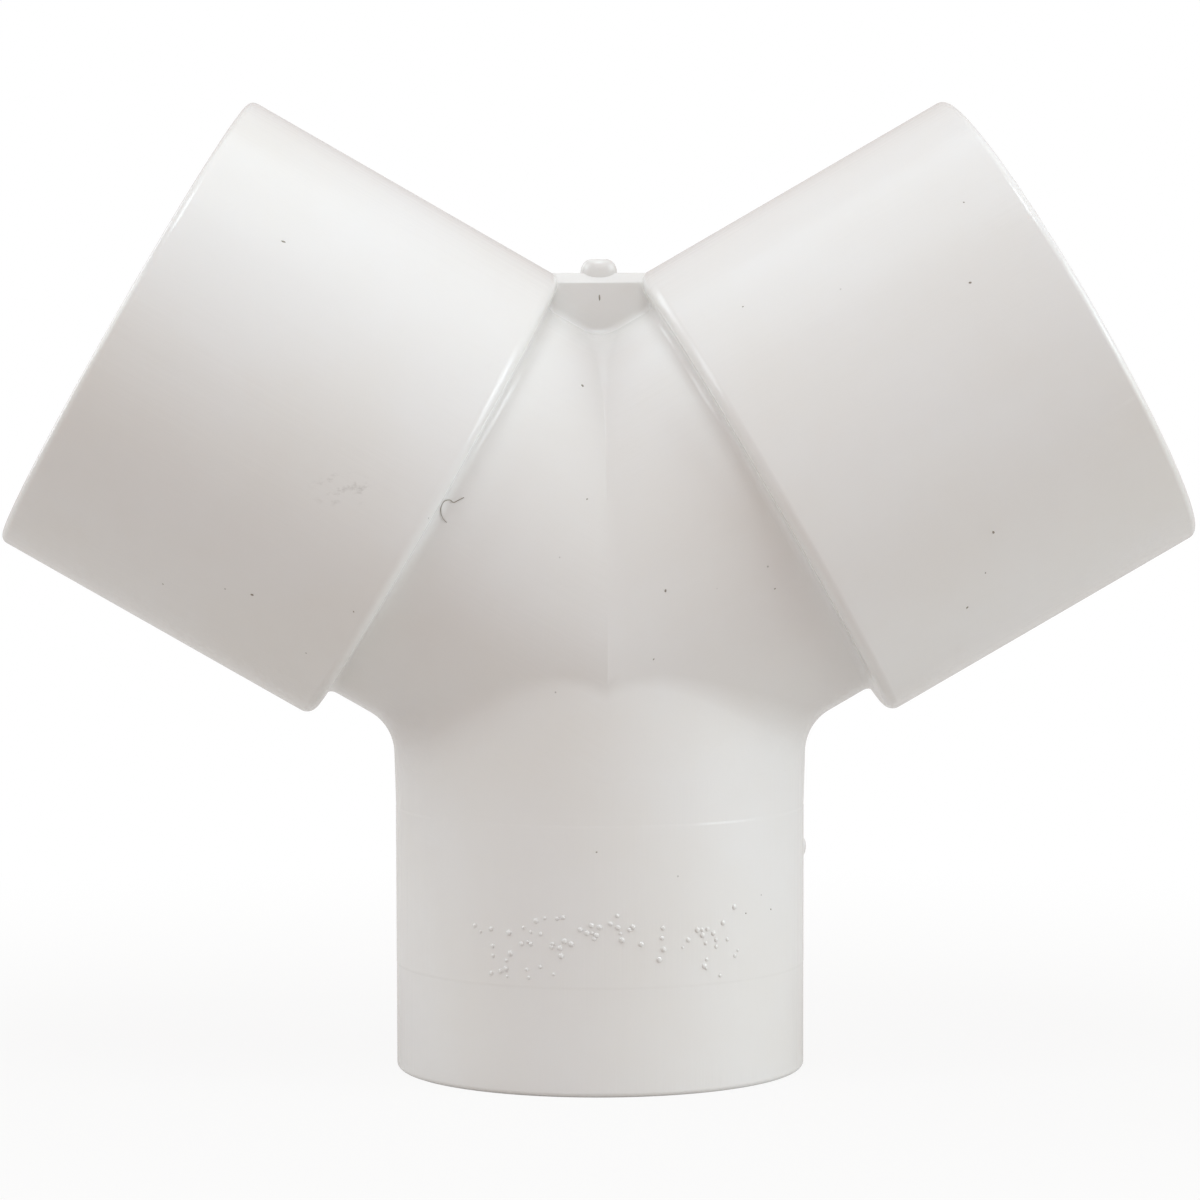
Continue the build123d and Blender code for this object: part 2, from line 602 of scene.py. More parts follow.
    def shell(self) -> bpy.types.Object:
        """The fitting without its web: three tubes, two hubs and every bore.

        Returns:
            The closed piece.
        """
        lay, rows = self.layout, self.density
        builder = MeshBuilder(lay.spigot_reach)
        contact = self.saddle_row(1.0)
        meeting = self.crossing(self.fan * math.pi / 2, lay.spigot_bore, lay.tube_bore)
        outer, inner = self.column_angles(contact), self.column_angles(meeting)
        valley = [self.valley_row(outer[0], k) for k in np.linspace(1, 0, rows.valley_rows + 1)]
        crest_reach = lay.tube_bore * math.tan(lay.slope) * np.cos(inner[0])
        crest = crest_reach[:, None] * lay.along + lay.tube_bore * lay.round_branch(inner[0])
        crest[:, 0] = 0
        for start, end, out_angles, in_angles in (
            (valley, crest, outer[0], inner[0]),
            ([contact], meeting, outer[1], inner[1]),
        ):
            outside = self.revolved(self.outside_outline(), out_angles)
            inside = self.revolved(self.inside_outline(), in_angles)
            tube = between(start[-1], outside[0], rows.tube_rows)
            bore = between(inside[-1], end, rows.tube_rows)
            builder.grid(np.concatenate([np.array(start), tube, outside, inside, bore, end[None]]))
        builder.grid(self.spigot_rows(meeting))
        builder.quartered()
        return builder.finish("wye_fitting")

    def spigot_rows(self, meeting: Points) -> Points:
        """Rows from the tube over the saddle, down the spigot, round its end and up its bore.

        Args:
            meeting: Points where the spigot's bore meets the branch's bore.

        Returns:
            The rows of points.
        """
        lay, rounds, rows = self.layout, self.rounds, self.density
        around = circle(self.fan * math.pi / 2)
        saddle = np.array([self.saddle_row(k) for k in np.linspace(1, 0, rows.saddle_rows + 1)])
        end, bore_end = rounds.spigot_end, rounds.spigot_bore
        tall, narrow = self.marks.ring_half_height, lay.spigot_radius - self.marks.ring_step
        high_ring = self.marks.high_ring - lay.spigot_reach
        low_ring = self.marks.low_ring - lay.spigot_reach
        outline = [
            (narrow, high_ring + 3 * tall),
            (narrow, high_ring + tall),
            (lay.spigot_radius, high_ring - tall),
            (lay.spigot_radius, high_ring - 3 * tall),
            *run((lay.spigot_radius, high_ring), (lay.spigot_radius, low_ring), 10),
            (lay.spigot_radius, low_ring + 3 * tall),
            (lay.spigot_radius, low_ring + tall),
            (narrow, low_ring - tall),
            (narrow, low_ring - 3 * tall),
            *run((narrow, low_ring), (narrow, end - lay.spigot_reach), 6),
            *arc((narrow - end, end - lay.spigot_reach), end, 0, -90, 7),
            *arc((lay.spigot_bore + bore_end, bore_end - lay.spigot_reach), bore_end, -90, -180, 5),
        ]
        sides = [radius * around + np.array([0.0, 0.0, height]) for radius, height in outline]
        neck = between(saddle[-1], sides[0], rows.neck_rows)
        bore = between(sides[-1], meeting, rows.tube_rows)
        return np.concatenate([saddle, neck, np.array(sides), bore, meeting[None]])

    # The web in the crotch.

    def gap_over(self, points: Points) -> Points:
        """Distance from points near the crotch down to the tube, the valley fillet or the shoulder.

        Args:
            points: Points in the right-hand half.

        Returns:
            The distances, negative inside the fitting.
        """
        lay, rounds = self.layout, self.rounds
        across, side, height = points[..., 0], points[..., 1], points[..., 2]
        radius = np.hypot(points @ lay.over, side)
        tube = radius - lay.tube_radius
        lean = np.sqrt(np.clip(1 - (side / lay.tube_radius) ** 2, 0, 1))
        ball = rounds.valley * lean**rounds.valley_fade
        centre = (lay.tube_radius + ball) * lean / math.cos(lay.slope)
        in_valley = across < (centre - height) * math.tan(lay.slope)
        valley = ball * lean - np.hypot(across, height - centre)
        floor = np.where(in_valley & (height < centre), valley, tube)
        step = lay.shoulder_reach - points @ lay.along
        edge = np.hypot(step + rounds.shoulder, radius - lay.hub_radius + rounds.shoulder)
        wall = np.where(radius > lay.hub_radius - rounds.shoulder, edge - rounds.shoulder, step)
        root = rounds.shoulder_root
        corner = root - np.hypot(np.maximum(root - floor, 0), np.maximum(root - wall, 0))
        return np.where(np.minimum(floor, wall) < root, corner, np.minimum(floor, wall))

    def web_section(self, low: float) -> Points:
        """Half the web's section before it is flared: its top, one sloped edge and one face.

        Args:
            low: Height of the lower end of the face.

        Returns:
            Distance to the side and height, point by point.
        """
        web, edge = self.web, self.web.bevel_round
        lean = math.atan2(web.bevel_depth, web.bevel_drop)
        upper = web.half_thickness - web.bevel_depth - edge * math.tan(math.pi / 4 - lean / 2)
        lower = web.top - web.bevel_drop - edge * math.tan(lean / 2)
        spread = eased(self.density.web_rows)
        section = [
            *[(k * upper, web.top) for k in np.linspace(0, 1, 4)[:-1]],
            *arc((upper, web.top - edge), edge, 90, math.degrees(lean), 4),
            *arc((web.half_thickness - edge, lower), edge, math.degrees(lean), 0, 4),
            *[(web.half_thickness, low + (lower - low) * (1 - k)) for k in spread[1:]],
        ]
        return np.array(section)

    def crotch_web(self) -> bpy.types.Object:
        """The web: sloped at its top edges, and flared where it runs into the tubes and shoulders.

        Returns:
            The closed piece.
        """
        lay, web = self.layout, self.web
        builder = MeshBuilder(lay.spigot_reach)
        foot = (lay.tube_radius + self.rounds.valley) / math.cos(lay.slope) - self.rounds.valley
        side, height = self.web_section(foot - web.sink).T
        reach = root_of(
            lambda across: -self.gap_over(np.stack([across, side, height], axis=-1)),
            np.zeros_like(side),
            np.full_like(side, web.search_reach),
        )
        across = (reach + web.sink)[:, None] * eased(self.density.web_columns)
        across, start, height = np.broadcast_arrays(across, side[:, None], height[:, None])
        turned = web.root * web.root_turn
        slope = web.root_turn / math.sqrt(1 - web.root_turn**2)

        def beyond_flare(place: Points) -> Points:
            """How far places to the side lie outside the flared face."""
            gap = self.gap_over(np.stack([across, place, height], axis=-1))
            within = np.maximum(web.root - gap, 0)
            bent = np.minimum(within, turned)
            flare = web.root - np.sqrt(web.root**2 - bent**2) + (within - bent) * slope
            return place - start - flare * start / web.half_thickness

        place = root_of(beyond_flare, start - web.search_slack, start + web.search_side)
        points = np.stack([across, place, height], axis=-1)
        points[:, :, 1][start == 0] = 0
        builder.grid(points)
        for edge in (points[-1], points[:, -1]):
            builder.grid(np.stack([edge, edge * ON_MIDDLE]))
        builder.quartered()
        return builder.finish("crotch_web")

    def gate_stub(self) -> bpy.types.Object:
        """The flat dome left by the moulding gate, oval from above.

        Returns:
            The closed piece.
        """
        web = self.web
        builder = MeshBuilder(self.layout.spigot_reach)
        shoulder = web.stub_base - web.stub_flat
        outline = [
            (0, web.top - web.bevel_drop),
            (web.stub_base, web.top - web.bevel_drop),
            *[
                (web.stub_flat + shoulder * across, web.top + web.stub_height * up)
                for across, up in arc((0, 0), 1, 0, 90, 10)
            ],
            (0, web.top + web.stub_height),
        ]
        oval = circle(full_turn(self.density.small_columns)) * np.array([1, web.stub_depth_share, 1])
        rows = [radius * oval + np.array([0, 0, height]) for radius, height in outline]
        builder.grid(np.array(rows), closed=True)
        return builder.finish("gate_stub")

    def parting_nick(self) -> bpy.types.Object:
        """The small raised nick on the parting line of the spigot, a lens that is mostly sunk in it.

        Returns:
            The closed piece.
        """
        lay, marks = self.layout, self.marks
        builder = MeshBuilder(lay.spigot_reach)
        turn = full_turn(self.density.nick_columns)
        sink = 3 * marks.nick_rise
        rows = []
        for tilt in np.linspace(-math.pi / 2, math.pi / 2, self.density.nick_rows + 1):
            size = math.cos(tilt)
            across = lay.spigot_radius - sink + (sink + marks.nick_rise) * np.cos(turn) * size
            side = marks.nick_width / 2 * np.sin(turn) * size
            height = marks.nick_height + marks.nick_length / 2 * math.sin(tilt) - lay.spigot_reach
            rows.append(np.stack([across, side, np.full_like(turn, height)], axis=-1))
        builder.grid(np.array(rows), closed=True)
        return builder.finish("parting_nick")


# ---- Finish ----


def add_node(tree: Tree, kind: str, links: dict | None = None, **settings: object) -> bpy.types.Node:
    """Add a node with its settings, input values and links.

    Args:
        tree: The node tree.
        kind: The node's type name.
        links: For each input, by name or number, an output socket to link or a value to set.
        **settings: Attributes of the node.

    Returns:
        The node.
    """
    node = tree.nodes.new(kind)
    for name, value in settings.items():
        setattr(node, name, value)
    for key, value in (links or {}).items():
        if isinstance(value, Socket):
            tree.links.new(value, node.inputs[key])
        else:
            node.inputs[key].default_value = value
    return node


def calculate(tree: Tree, operation: str, first: Socket, second: Socket | float) -> Socket:
    """The result of one sum on two numbers."""
    return add_node(tree, "ShaderNodeMath", {0: first, 1: second}, operation=operation).outputs["Value"]


def vector_math(tree: Tree, operation: str, *values: Value) -> bpy.types.Node:
    """One sum on vectors, as a node with the outputs Vector and Value."""
    return add_node(tree, "ShaderNodeVectorMath", dict(enumerate(values)), operation=operation)


def noise(tree: Tree, place: Socket, scale: float, detail: float, roughness: float = 0.5) -> Socket:
    """A noise between 0 and 1."""
    links = {"Vector": place, "Scale": scale, "Detail": detail, "Roughness": roughness}
    return add_node(tree, "ShaderNodeTexNoise", links).outputs["Fac"]


def ranged(tree: Tree, value: Socket, span: Pair, ends: Pair = (0, 1), curve: str = "LINEAR") -> Socket:
    """A value carried from one range to another, and held at the ends of it."""
    links = dict(zip(("Value", "From Min", "From Max", "To Min", "To Max"), (value, *span, *ends)))
    return add_node(tree, "ShaderNodeMapRange", links, interpolation_type=curve).outputs["Result"]


def mixed(tree: Tree, share: Socket, first: Value, second: Value, kind: str = "RGBA") -> Socket:
    """A mix of two colours or vectors. The mix node has its own sockets for each kind."""
    low, high, result = {"RGBA": (6, 7, 2), "VECTOR": (4, 5, 1)}[kind]
    links = {"Factor": share, low: first, high: second}
    return add_node(tree, "ShaderNodeMix", links, data_type=kind).outputs[result]


def new_material(name: str) -> tuple[bpy.types.Material, Tree, bpy.types.Node]:
    """A new material, its node tree and its shader."""
    made = bpy.data.materials.new(name)
    made.use_nodes = True
    return made, made.node_tree, made.node_tree.nodes["Principled BSDF"]


@dataclass(frozen=True)
class MouldedPvc:
    """White rigid PVC as it leaves a polished mould.

    It is milky and faintly warm, with a satin gloss that draws thin bright lines along the small
    rounds. Flow lines run along each tube, and the skin between them has a fine orange peel.
    """

    colour: str = "F0F0EF"
    warm_patch: str = "EEEDEA"
    warm_span: Pair = (0.35, 0.7)
    patch_mm: float = 14.0
    roughness: float = 0.18
    roughness_swing: float = 0.05
    roughness_span: Pair = (0.3, 0.7)
    ior: float = 1.53
    glow: float = 0.06
    glow_reach: Place = (1.0, 0.9, 0.8)
    glow_depth_mm: float = 0.8
    flow_line_mm: float = 0.9
    flow_length_mm: float = 26.0
    flow_height_mm: float = 0.02
    peel_mm: float = 0.35
    peel_height_mm: float = 0.0012
    speck_colour: str = "6E6A64"
    speck_mm: float = 0.10
    speck_spacing_mm: float = 3.2
    speck_strength: float = 0.45
    speckless_share: float = 0.55  # share of the cells that have no speck
    scuff_colour: str = "A9A6A1"
    scuff_place_mm: Place = (-20.6, -19.9, 48.3)
    scuff_reach_mm: Place = (2.8, 3.0, 1.6)
    scuff_streaks: float = 2.6
    scuff_span: Pair = (0.52, 0.68)
    scuff_strength: float = 0.4
    neck_mm: float = 25.0  # height where the flow lines turn from the spigot to the branches
    rise: float = 30.0

    def material(self) -> bpy.types.Material:
        """Build the material.

        Returns:
            The material, in object coordinates.
        """
        made, tree, shader = new_material("moulded_white_pvc")
        shader.inputs["IOR"].default_value = self.ior
        shader.inputs["Subsurface Weight"].default_value = self.glow
        shader.inputs["Subsurface Radius"].default_value = self.glow_reach
        shader.inputs["Subsurface Scale"].default_value = self.glow_depth_mm * MM
        place = add_node(tree, "ShaderNodeTexCoord").outputs["Object"]
        patches = noise(tree, place, 1 / (self.patch_mm * MM), 3.0)
        half = self.roughness_swing / 2
        levels = (self.roughness - half, self.roughness + half)
        rough = ranged(tree, patches, self.roughness_span, levels)
        tree.links.new(rough, shader.inputs["Roughness"])
        tree.links.new(self.relief(tree, place), shader.inputs["Normal"])
        tree.links.new(self.paint(tree, place, patches), shader.inputs["Base Color"])
        return made

    def flow_space(self, tree: Tree, place: Socket) -> Socket:
        """Coordinates that are long along each tube and short across it.

        Args:
            tree: The node tree.
            place: Object coordinates.

        Returns:
            The coordinates, in flow lines.
        """
        cos, sin = math.cos(math.radians(self.rise)), math.sin(math.radians(self.rise))
        across, along = 1 / (self.flow_line_mm * MM), 1 / (self.flow_length_mm * MM)
        branches = []
        for side in (-1, 1):
            rows = (
                (cos * side * along, 0, sin * along),
                (-sin * side * across, 0, cos * across),
                (0, across, 0),
            )
            dots = [vector_math(tree, "DOT_PRODUCT", place, row).outputs["Value"] for row in rows]
            branches.append(add_node(tree, "ShaderNodeCombineXYZ", dict(enumerate(dots))).outputs[0])
        spigot = vector_math(tree, "MULTIPLY", place, (across, across, along)).outputs["Vector"]
        parts = add_node(tree, "ShaderNodeSeparateXYZ", {0: place}).outputs
        is_right = calculate(tree, "GREATER_THAN", parts["X"], 0.0)
        is_above = calculate(tree, "GREATER_THAN", parts["Z"], self.neck_mm * MM)
        branch = mixed(tree, is_right, *branches, kind="VECTOR")
        return mixed(tree, is_above, spigot, branch, kind="VECTOR")

    def relief(self, tree: Tree, place: Socket) -> Socket:
        """Flow lines and orange peel as relief, at their real heights.

        Args:
            tree: The node tree.
            place: Object coordinates.

        Returns:
            The surface's direction.
        """
        lines = noise(tree, self.flow_space(tree, place), 1.0, 3.0, 0.6)
        peel = noise(tree, place, 1 / (self.peel_mm * MM), 2.0)
        links = {"Height": lines, "Distance": self.flow_height_mm * MM, "Strength": 1.0}
        flow = add_node(tree, "ShaderNodeBump", links).outputs["Normal"]
        links = {"Height": peel, "Distance": self.peel_height_mm * MM, "Strength": 1.0, "Normal": flow}
        return add_node(tree, "ShaderNodeBump", links).outputs["Normal"]

    def paint(self, tree: Tree, place: Socket, patches: Socket) -> Socket:
        """Slow warm patches, fine dark specks, and the scuff on the left-hand hub.

        Args:
            tree: The node tree.
            place: Object coordinates.
            patches: A slow noise.

        Returns:
            The colour.
        """
        warm = ranged(tree, patches, self.warm_span)
        skin = mixed(tree, warm, linear(self.colour), linear(self.warm_patch))
        links = {"Vector": place, "Scale": 1 / (self.speck_spacing_mm * MM), "Randomness": 1.0}
        cells = add_node(tree, "ShaderNodeTexVoronoi", links).outputs
        edge = self.speck_mm / self.speck_spacing_mm
        dot = ranged(tree, cells["Distance"], (edge / 2, edge), (self.speck_strength, 0.0))
        chance = add_node(tree, "ShaderNodeSeparateColor", {0: cells["Color"]}).outputs[0]
        is_speck = calculate(tree, "GREATER_THAN", chance, self.speckless_share)
        speck = calculate(tree, "MULTIPLY", dot, is_speck)
        specked = mixed(tree, speck, skin, linear(self.speck_colour))
        return mixed(tree, self.scuff(tree, place), specked, linear(self.scuff_colour))

    def scuff(self, tree: Tree, place: Socket) -> Socket:
        """Where the left-hand hub is scuffed: broken streaks inside a small patch.

        Args:
            tree: The node tree.
            place: Object coordinates.

        Returns:
            How strong the scuff is.
        """
        middle = tuple(value * MM for value in self.scuff_place_mm)
        reach = tuple(1 / (value * MM) for value in self.scuff_reach_mm)
        offset = vector_math(tree, "SUBTRACT", place, middle).outputs["Vector"]
        scaled = vector_math(tree, "MULTIPLY", offset, reach).outputs["Vector"]
        distance = vector_math(tree, "LENGTH", scaled).outputs["Value"]
        patch = ranged(tree, distance, (0.5, 1.0), (1.0, 0.0))
        streaks = noise(tree, scaled, self.scuff_streaks, 5.0, 0.7)
        broken = ranged(tree, streaks, self.scuff_span, (0.0, self.scuff_strength))
        return calculate(tree, "MULTIPLY", patch, broken)


@dataclass(frozen=True)
class DrySoil:
    """Dust and a stray fibre: matt, grey-brown and dark against the plastic."""

    colour: str = "8A847B"
    light_grain: str = "A8A297"
    roughness: float = 0.9
    grain_mm: float = 0.08

    def material(self) -> bpy.types.Material:
        """Build the material.

        Returns:
            The material, in object coordinates.
        """
        made, tree, shader = new_material("dry_soil")
        shader.inputs["Roughness"].default_value = self.roughness
        place = add_node(tree, "ShaderNodeTexCoord").outputs["Object"]
        grain = noise(tree, place, 1 / (self.grain_mm * MM), 2.0)
        colour = mixed(tree, grain, linear(self.colour), linear(self.light_grain))
        tree.links.new(colour, shader.inputs["Base Color"])
        return made


# ---- Small things on the surface ----


@dataclass(frozen=True)
class Scatter:
    """Small domes scattered at random over a patch of surface by Geometry Nodes.

    They lie only where a noise of the cluster's size is above the cluster's level.
    """

    name: str
    per_square_mm: float
    seed: int
    smallest_mm: float
    largest_mm: float
    flatness: float
    cluster_mm: float
    cluster_level: float

    def tree(self, material: bpy.types.Material) -> Tree:
        """Build the node tree.

        Args:
            material: The finish of the domes.

        Returns:
            A tree that turns a patch into domes.
        """
        tree = bpy.data.node_groups.new(self.name, "GeometryNodeTree")
        for way in ("INPUT", "OUTPUT"):
            tree.interface.new_socket("Geometry", in_out=way, socket_type="NodeSocketGeometry")
        patch = add_node(tree, "NodeGroupInput").outputs["Geometry"]
        links = {"Scale": 1 / (self.cluster_mm * MM), "Detail": 1.0}
        clumps = add_node(tree, "ShaderNodeTexNoise", links).outputs["Fac"]
        is_inside = calculate(tree, "GREATER_THAN", clumps, self.cluster_level)
        density = calculate(tree, "MULTIPLY", is_inside, self.per_square_mm / MM**2)
        links = {"Mesh": patch, "Density": density, "Seed": self.seed}
        points = add_node(tree, "GeometryNodeDistributePointsOnFaces", links).outputs
        links = {2: self.smallest_mm * MM, 3: self.largest_mm * MM, "Seed": self.seed}
        size = add_node(tree, "FunctionNodeRandomValue", links).outputs[1]
        low = calculate(tree, "MULTIPLY", size, self.flatness)
        shape = add_node(tree, "ShaderNodeCombineXYZ", {0: size, 1: size, 2: low}).outputs["Vector"]
        links = {"Segments": DOME_SEGMENTS, "Rings": DOME_RINGS, "Radius": 1.0}
        dome = add_node(tree, "GeometryNodeMeshUVSphere", links).outputs["Mesh"]
        links = {name: points[name] for name in ("Points", "Rotation")} | {"Instance": dome, "Scale": shape}
        made = add_node(tree, "GeometryNodeInstanceOnPoints", links).outputs["Instances"]
        made = add_node(tree, "GeometryNodeRealizeInstances", {0: made}).outputs["Geometry"]
        made = add_node(tree, "GeometryNodeSetShadeSmooth", {0: made}).outputs["Geometry"]
        made = add_node(tree, "GeometryNodeSetMaterial", {0: made, "Material": material}).outputs[0]
        add_node(tree, "NodeGroupOutput", {"Geometry": made})
        return tree

    def build(self, patch: bpy.types.Object, material: bpy.types.Material) -> bpy.types.Object:
        """Turn a patch of surface into the domes that lie on it.

        Args:
            patch: A mesh that follows the surface. It becomes the domes.
            material: The finish of the domes.

        Returns:
            The same object, with the domes as its mesh.
        """
        patch.modifiers.new(self.name, "NODES").node_group = self.tree(material)
        apply_modifiers(patch)
        patch.name = self.name
        return patch


class Way(Enum):
    """The part of the fitting that a speck lies on."""

    LEFT = "left branch"
    RIGHT = "right branch"
    SPIGOT = "spigot"
    WEB = "web"


@dataclass(frozen=True)
class Speck:
    """One speck of dirt on the front of the fitting.

    Its place is its reach from the junction, and the angle round the way that it lies on: from the top
    of a branch, or from the right of the spigot.
    """

    way: Way
    reach: float
    angle: float = 0.0
    radius: float = 0.065
    stretch: float = 1.0


@dataclass(frozen=True)
class SurfaceSoil:
    """What has settled on the fitting: a few specks and one stray fibre.

    The fibre's place is its reach and its angle round the left-hand branch. Its curl is a run of
    control points about that place, to the left and up.
    """

    specks: tuple[Speck, ...] = (
        Speck(Way.LEFT, 36.0, 54.0, 0.08, 2.2),
        Speck(Way.LEFT, 24.5, 130.0, 0.11),
        Speck(Way.LEFT, 31.0, 142.0),
        Speck(Way.LEFT, 17.0, 120.0),
        Speck(Way.LEFT, 10.0, 39.0, 0.09, 1.5),
        Speck(Way.LEFT, 5.5, 69.0),
        Speck(Way.RIGHT, 4.5, 94.0, 0.1),
        Speck(Way.RIGHT, 1.0, 108.0),
        Speck(Way.RIGHT, 21.0, 44.0),
        Speck(Way.RIGHT, 37.0, 68.0, 0.1),
        Speck(Way.RIGHT, 40.0, 50.0),
        Speck(Way.RIGHT, 29.0, 120.0, 0.11),
        Speck(Way.RIGHT, 27.0, 129.0),
        Speck(Way.RIGHT, 24.5, 136.0, 0.1),
        Speck(Way.RIGHT, 12.0, 108.0),
        Speck(Way.SPIGOT, 9.5, 34.0),
        Speck(Way.SPIGOT, 10.0, 122.0),
        Speck(Way.SPIGOT, 19.5, 93.0),
        Speck(Way.SPIGOT, 25.0, 48.0),
        Speck(Way.SPIGOT, 25.0, 37.0),
        Speck(Way.WEB, 23.9, 0.0, 0.08, 2.6),
    )
    crumb: tuple[Pair, ...] = ((0, -0.4), (0.9, -0.4), (1, 0), (0.8, 0.3), (0.45, 0.48), (0, 0.52))
    crumb_columns: int = 10
    unevenness: float = 0.25
    layout: Layout = Layout()
    rounds: Rounds = Rounds()
    web: Web = Web()
    fibre_reach: float = 14.45
    fibre_angle: float = 88.0
    fibre_radius: float = 0.03
    curl: tuple[Pair, ...] = (
        (0.35, -1.2),
        (0.75, -0.85),
        (0.85, -0.1),
        (0.6, 0.5),
        (0.05, 0.6),
        (-0.15, 0.3),
        (-0.5, 0.5),
        (-1.0, 0.75),
    )

    def frame_at(self, speck: Speck) -> tuple[Points, Points, Points]:
        """Where a speck lies.

        Args:
            speck: The speck.

        Returns:
            Its place, and the directions out of the surface and along it there.
        """
        lay, angle = self.layout, np.array(math.radians(speck.angle))
        if speck.way is Way.WEB:
            outward, along, radius = np.array([0, -1, 0]), np.array([0, 0, 1]), self.web.half_thickness
        elif speck.way is Way.SPIGOT:
            outward, along, radius = circle(-angle), np.array([0, 0, -1]), lay.spigot_radius
        else:
            mirror = np.array([1 if speck.way is Way.RIGHT else -1, -1, 1])
            outward, along = lay.round_branch(angle) * mirror, lay.along * mirror
            radius = lay.hub_radius if speck.reach > lay.shoulder_reach else lay.tube_radius
        return speck.reach * along + radius * outward, outward, along

    def dirt(self, material: bpy.types.Material) -> bpy.types.Object:
        """All the specks, each a low uneven crumb sunk a little into the surface.

        Args:
            material: Their finish.

        Returns:
            The finished piece.
        """
        builder = MeshBuilder(self.layout.spigot_reach)
        turn = full_turn(self.crumb_columns)
        for number, speck in enumerate(self.specks):
            middle, outward, along = self.frame_at(speck)
            across = np.cross(outward, along)
            uneven = speck.radius * (1 + self.unevenness * np.sin(2 * turn + number))
            around = (np.cos(turn) * speck.stretch * uneven)[:, None] * along
            around = around + (np.sin(turn) * uneven)[:, None] * across
            rows = [middle + wide * around + speck.radius * high * outward for wide, high in self.crumb]
            builder.grid(np.array(rows), closed=True)
        piece = builder.finish("dirt_specks")
        piece.data.materials.append(material)
        return piece

    def fibre(self, material: bpy.types.Material) -> bpy.types.Object:
        """A short curled fibre that lies on the front of the left-hand tube.

        Args:
            material: Its finish.

        Returns:
            The finished piece.
        """
        lay = self.layout
        data = bpy.data.curves.new("stray_fibre", "CURVE")
        data.dimensions = "3D"
        data.bevel_depth = self.fibre_radius * MM
        data.bevel_resolution = 1
        data.resolution_u = 6
        spline = data.splines.new("NURBS")
        spline.points.add(len(self.curl) - 1)
        cos, sin, root = math.cos(lay.slope), math.sin(lay.slope), self.rounds.shoulder_root
        for point, (across, up) in zip(spline.points, self.curl):
            reach = self.fibre_reach + across * cos + up * sin
            lift = -across * sin + up * cos
            angle = np.array(math.radians(self.fibre_angle) - lift / lay.tube_radius)
            into = max(reach - lay.shoulder_reach + root, 0.0)
            surface = lay.tube_radius + root - math.sqrt(root**2 - into**2)
            place = reach * lay.along + (surface + self.fibre_radius) * lay.round_branch(angle)
            place = place * np.array([-1, -1, 1]) + np.array([0, 0, lay.spigot_reach])
            point.co = (*(place * MM), 1.0)
        spline.order_u = 3
        spline.use_endpoint_u = True
        data.use_fill_caps = True
        holder = link("stray_fibre", data)
        mesh = made_mesh(holder)
        bpy.data.objects.remove(holder)
        mesh.shade_smooth()
        mesh.materials.clear()
        mesh.materials.append(material)
        return link("stray_fibre", mesh)


def spigot_patch(layout: Layout, low: float, high: float, half_angle: float) -> bpy.types.Object:
    """A patch of the front of the spigot's surface.

    Args:
        layout: The fitting's layout.
        low: Height of its lower edge above the floor, in millimetres.
        high: Height of its upper edge.
        half_angle: Half the angle that it spans, in degrees.

    Returns:
        The patch, facing outwards.
    """
    builder = MeshBuilder(0.0)
    turn = np.radians(np.linspace(-90 - half_angle, -90 + half_angle, PATCH_COLUMNS + 1))
    around = circle(turn) * layout.spigot_radius
    rows = [around + np.array([0, 0, height]) for height in np.linspace(high, low, PATCH_ROWS + 1)]
    builder.grid(np.array(rows))
    patch = builder.finish("patch")
    face = patch.data.polygons[0]
    if face.normal.dot(face.center) < 0:
        patch.data.flip_normals()
    return patch


# ---- Studio ----


@dataclass(frozen=True)
class Lamp:
    """A soft square lamp."""

    name: str
    place: Place
    size: float
    power: float

    def build(self, colour: str, aim: Vector) -> None:
        """Hang the lamp.

        Args:
            colour: Its colour.
            aim: The point that it faces.
        """
        data = bpy.data.lights.new(self.name, "AREA")
        data.energy = self.power
        data.color = linear(colour)[:3]
        data.size = self.size
        lamp = link(self.name, data)
        lamp.location = self.place
        lamp.rotation_euler = (aim - Vector(self.place)).to_track_quat("-Z", "Y").to_euler()


